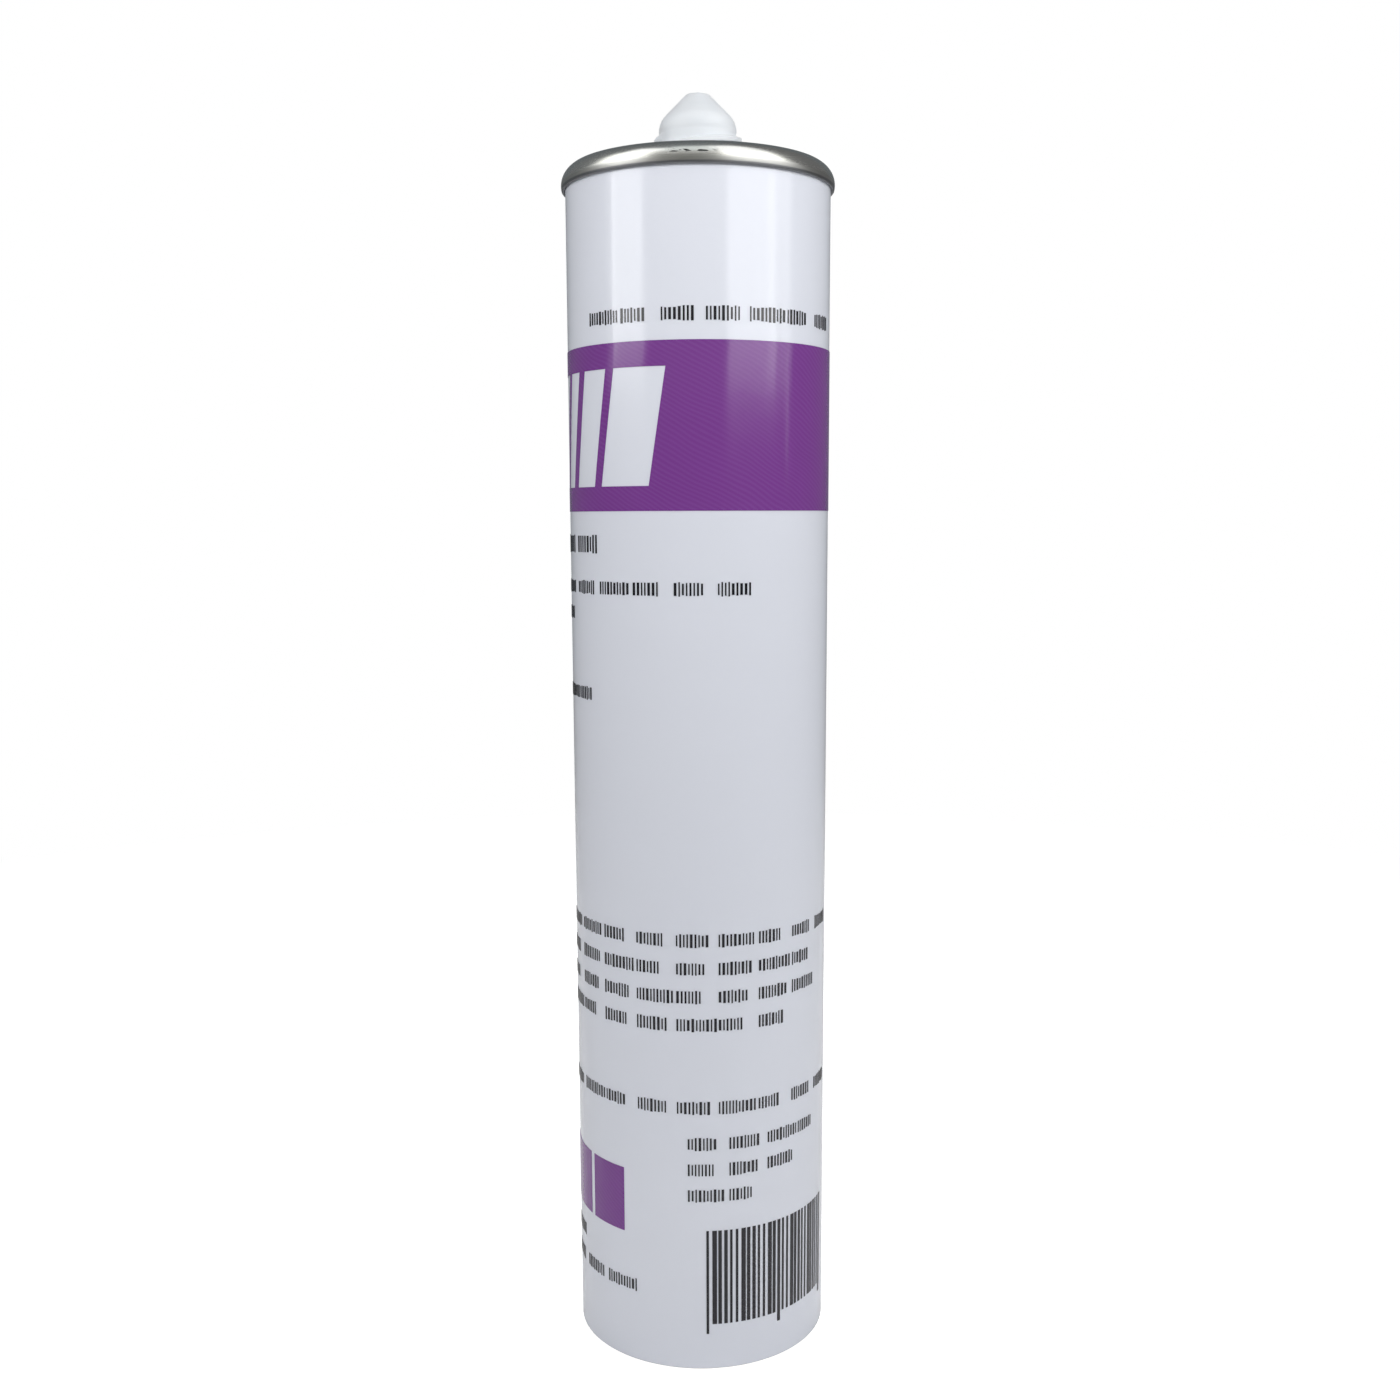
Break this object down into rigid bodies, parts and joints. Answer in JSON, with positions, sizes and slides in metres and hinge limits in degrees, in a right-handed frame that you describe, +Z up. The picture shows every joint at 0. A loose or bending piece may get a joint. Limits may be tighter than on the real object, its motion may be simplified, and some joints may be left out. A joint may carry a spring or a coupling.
{
  "type": "caulk tube",
  "caption": "Upright caulking cartridge: printed white tube with a purple band, rolled metal rim, screw neck with a closed cone tip, and a sliding piston inside.",
  "frame": {"origin": "centre of the tube's rear edge, on the surface that the cartridge stands on", "axes": "+Z up along the tube's axis towards the neck; -Y faces the front of the print; +X to the right of the print"},
  "size_m": [0.0516, 0.0516, 0.2421],
  "materials": {
    "tube_white": "gloss film over the wound tube",
    "tinplate": "bright stamped tinplate, lightly scuffed",
    "neck_plastic": "natural milky polyethylene",
    "piston_plastic": "natural moulded polyethylene",
    "filling": "soft paste",
    "purple_ink": "gloss print",
    "dark_ink": "gloss print"
  },
  "bodies": {
    "cartridge": {"tube_body": "tube_white", "top_end": "tinplate", "neck": "neck_plastic", "sealant": "filling", "print_purple": "purple_ink", "print_dark": "dark_ink"},
    "piston": {"piston": "piston_plastic"}
  },
  "joints": [
    {"name": "piston_slide", "type": "slide", "parent": "cartridge", "child": "piston", "axis": [0, 0, 1], "range_m": [0, 0.176], "deforming": ["sealant"]}
  ]
}
